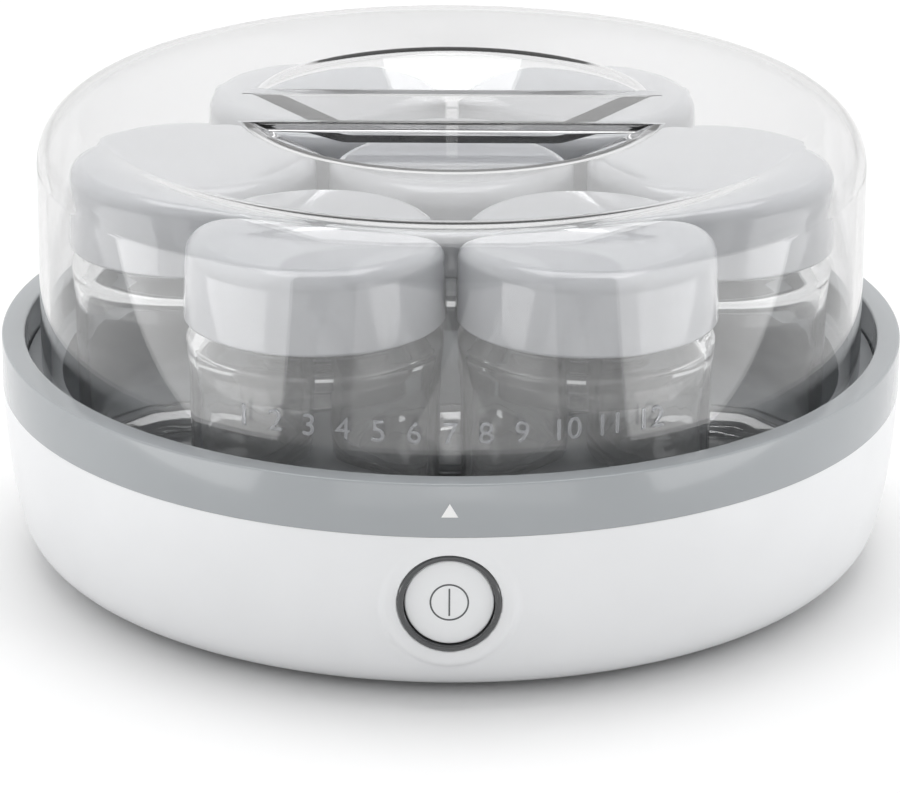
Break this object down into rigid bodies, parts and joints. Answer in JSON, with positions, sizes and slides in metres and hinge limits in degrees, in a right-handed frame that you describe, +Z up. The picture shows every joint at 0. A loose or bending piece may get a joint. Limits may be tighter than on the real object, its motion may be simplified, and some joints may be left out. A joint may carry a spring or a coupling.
{
  "type": "yogurt maker",
  "caption": "Round electric yogurt maker: white base with a grey ring and push button, screw-capped glass jars in a heated well, clear lid with a sunken finger grip.",
  "frame": {"origin": "on the floor under the middle of the base", "axes": "+Z up, front with the power button towards -Y, +X to the right seen from the front"},
  "size_m": [0.24, 0.24, 0.1212],
  "materials": {
    "white_shell": "gloss white moulded plastic",
    "grey_ring": "satin-gloss cool grey moulded plastic",
    "well_grey": "satin dark grey moulded plastic",
    "cover_grey": "fine-textured light grey plastic",
    "foot_rubber": "matte dark rubber",
    "gland_rubber": "light grey soft plastic",
    "screw_steel": "zinc-plated steel",
    "sheet_steel": "bright sheet steel",
    "spring_steel": "drawn spring wire",
    "aluminium_sheet": "rolled foil",
    "heater_silicone": "silicone sleeve",
    "thermostat_body": "dark bakelite and metal cap",
    "fuse_sleeve": "woven glass sleeve",
    "block_nylon": "natural nylon",
    "lead_blue": "blue insulation",
    "lead_brown": "brown insulation",
    "lead_white": "white silicone insulation",
    "smoked_ring": "high-gloss smoked clear plastic",
    "button_white": "satin off-white plastic",
    "switch_black": "black moulded plastic",
    "holder_grey": "plain moulded plastic",
    "board_green": "green circuit board",
    "lamp_lens": "amber lens",
    "jar_glass": "clear pressed glass",
    "cap_grey": "satin-gloss light grey plastic",
    "seal_soft": "soft white sealing foam",
    "lid_clear": "clear moulded plastic"
  },
  "bodies": {
    "base": {"base_shell": "white_shell", "top_ring": "grey_ring", "well_liner": "well_grey", "bottom_cover": "cover_grey", "rubber_feet": "foot_rubber", "bottom_screws": "screw_steel", "cord_gland": "gland_rubber", "heat_spreader": "aluminium_sheet", "heater_cord": "heater_silicone", "thermostat": "thermostat_body", "thermostat_strap": "sheet_steel", "thermal_fuse": "fuse_sleeve", "fuse_clip": "sheet_steel", "strap_screws": "screw_steel", "terminal_block": "block_nylon", "block_screw": "screw_steel", "lead_live": "lead_brown", "lead_switched": "lead_brown", "lead_to_fuse": "lead_white", "lead_to_heater": "lead_white", "lead_neutral": "lead_blue", "button_ring": "smoked_ring", "button_spring": "spring_steel", "switch_holder": "holder_grey", "holder_screws": "screw_steel", "switch_body": "switch_black", "lamp_board": "board_green", "pilot_lamp": "lamp_lens", "lamp_leads": "screw_steel"},
    "button": {"power_button": "button_white", "switch_plunger": "switch_black"},
    "lid": {"lid": "lid_clear"},
    "jar_1": {"jar_1": "jar_glass"},
    "seal_1": {"seal_1": "seal_soft"},
    "cap_1": {"cap_1": "cap_grey"},
    "jar_2": {"jar_2": "jar_glass"},
    "seal_2": {"seal_2": "seal_soft"},
    "cap_2": {"cap_2": "cap_grey"},
    "jar_3": {"jar_3": "jar_glass"},
    "seal_3": {"seal_3": "seal_soft"},
    "cap_3": {"cap_3": "cap_grey"},
    "jar_4": {"jar_4": "jar_glass"},
    "seal_4": {"seal_4": "seal_soft"},
    "cap_4": {"cap_4": "cap_grey"},
    "jar_5": {"jar_5": "jar_glass"},
    "seal_5": {"seal_5": "seal_soft"},
    "cap_5": {"cap_5": "cap_grey"},
    "jar_6": {"jar_6": "jar_glass"},
    "seal_6": {"seal_6": "seal_soft"},
    "cap_6": {"cap_6": "cap_grey"},
    "jar_7": {"jar_7": "jar_glass"},
    "seal_7": {"seal_7": "seal_soft"},
    "cap_7": {"cap_7": "cap_grey"}
  },
  "joints": [
    {"name": "lid_lift", "type": "slide", "parent": "base", "child": "lid", "axis": [0, 0, 1], "range_m": [0, 0.25]},
    {"name": "button_press", "type": "slide", "parent": "base", "child": "button", "axis": [0, 1, 0], "range_m": [0, 0.0025], "stiffness_N_per_m": 600, "springref_m": -0.001, "deforming": ["button_spring"]},
    {"name": "jar_1_lift", "type": "slide", "parent": "base", "child": "jar_1", "axis": [0, 0, 1], "range_m": [0, 0.125]},
    {"name": "seal_1_rise", "type": "slide", "parent": "jar_1", "child": "seal_1", "axis": [0, 0, 1], "range_m": [0, 0.0375]},
    {"name": "cap_1_turn", "type": "hinge", "parent": "seal_1", "child": "cap_1", "pos_m": [0, 0, 0.1055], "axis": [0, 0, 1], "range_deg": [0, 270]},
    {"name": "jar_2_lift", "type": "slide", "parent": "base", "child": "jar_2", "axis": [0, 0, 1], "range_m": [0, 0.125]},
    {"name": "seal_2_rise", "type": "slide", "parent": "jar_2", "child": "seal_2", "axis": [0, 0, 1], "range_m": [0, 0.0375]},
    {"name": "cap_2_turn", "type": "hinge", "parent": "seal_2", "child": "cap_2", "pos_m": [0.0687, 0, 0.1055], "axis": [0, 0, 1], "range_deg": [0, 270]},
    {"name": "jar_3_lift", "type": "slide", "parent": "base", "child": "jar_3", "axis": [0, 0, 1], "range_m": [0, 0.125]},
    {"name": "seal_3_rise", "type": "slide", "parent": "jar_3", "child": "seal_3", "axis": [0, 0, 1], "range_m": [0, 0.0375]},
    {"name": "cap_3_turn", "type": "hinge", "parent": "seal_3", "child": "cap_3", "pos_m": [0.03435, 0.0595, 0.1055], "axis": [0, 0, 1], "range_deg": [0, 270]},
    {"name": "jar_4_lift", "type": "slide", "parent": "base", "child": "jar_4", "axis": [0, 0, 1], "range_m": [0, 0.125]},
    {"name": "seal_4_rise", "type": "slide", "parent": "jar_4", "child": "seal_4", "axis": [0, 0, 1], "range_m": [0, 0.0375]},
    {"name": "cap_4_turn", "type": "hinge", "parent": "seal_4", "child": "cap_4", "pos_m": [-0.03435, 0.0595, 0.1055], "axis": [0, 0, 1], "range_deg": [0, 270]},
    {"name": "jar_5_lift", "type": "slide", "parent": "base", "child": "jar_5", "axis": [0, 0, 1], "range_m": [0, 0.125]},
    {"name": "seal_5_rise", "type": "slide", "parent": "jar_5", "child": "seal_5", "axis": [0, 0, 1], "range_m": [0, 0.0375]},
    {"name": "cap_5_turn", "type": "hinge", "parent": "seal_5", "child": "cap_5", "pos_m": [-0.0687, 0, 0.1055], "axis": [0, 0, 1], "range_deg": [0, 270]},
    {"name": "jar_6_lift", "type": "slide", "parent": "base", "child": "jar_6", "axis": [0, 0, 1], "range_m": [0, 0.125]},
    {"name": "seal_6_rise", "type": "slide", "parent": "jar_6", "child": "seal_6", "axis": [0, 0, 1], "range_m": [0, 0.0375]},
    {"name": "cap_6_turn", "type": "hinge", "parent": "seal_6", "child": "cap_6", "pos_m": [-0.03435, -0.0595, 0.1055], "axis": [0, 0, 1], "range_deg": [0, 270]},
    {"name": "jar_7_lift", "type": "slide", "parent": "base", "child": "jar_7", "axis": [0, 0, 1], "range_m": [0, 0.125]},
    {"name": "seal_7_rise", "type": "slide", "parent": "jar_7", "child": "seal_7", "axis": [0, 0, 1], "range_m": [0, 0.0375]},
    {"name": "cap_7_turn", "type": "hinge", "parent": "seal_7", "child": "cap_7", "pos_m": [0.03435, -0.0595, 0.1055], "axis": [0, 0, 1], "range_deg": [0, 270]}
  ],
  "couplings": [
    {"joint": "jar_1_lift", "follows": "lid_lift", "ratio": 0.5},
    {"joint": "seal_1_rise", "follows": "lid_lift", "ratio": 0.15},
    {"joint": "jar_2_lift", "follows": "lid_lift", "ratio": 0.5},
    {"joint": "seal_2_rise", "follows": "lid_lift", "ratio": 0.15},
    {"joint": "jar_3_lift", "follows": "lid_lift", "ratio": 0.5},
    {"joint": "seal_3_rise", "follows": "lid_lift", "ratio": 0.15},
    {"joint": "jar_4_lift", "follows": "lid_lift", "ratio": 0.5},
    {"joint": "seal_4_rise", "follows": "lid_lift", "ratio": 0.15},
    {"joint": "jar_5_lift", "follows": "lid_lift", "ratio": 0.5},
    {"joint": "seal_5_rise", "follows": "lid_lift", "ratio": 0.15},
    {"joint": "jar_6_lift", "follows": "lid_lift", "ratio": 0.5},
    {"joint": "seal_6_rise", "follows": "lid_lift", "ratio": 0.15},
    {"joint": "jar_7_lift", "follows": "lid_lift", "ratio": 0.5},
    {"joint": "seal_7_rise", "follows": "lid_lift", "ratio": 0.15}
  ]
}
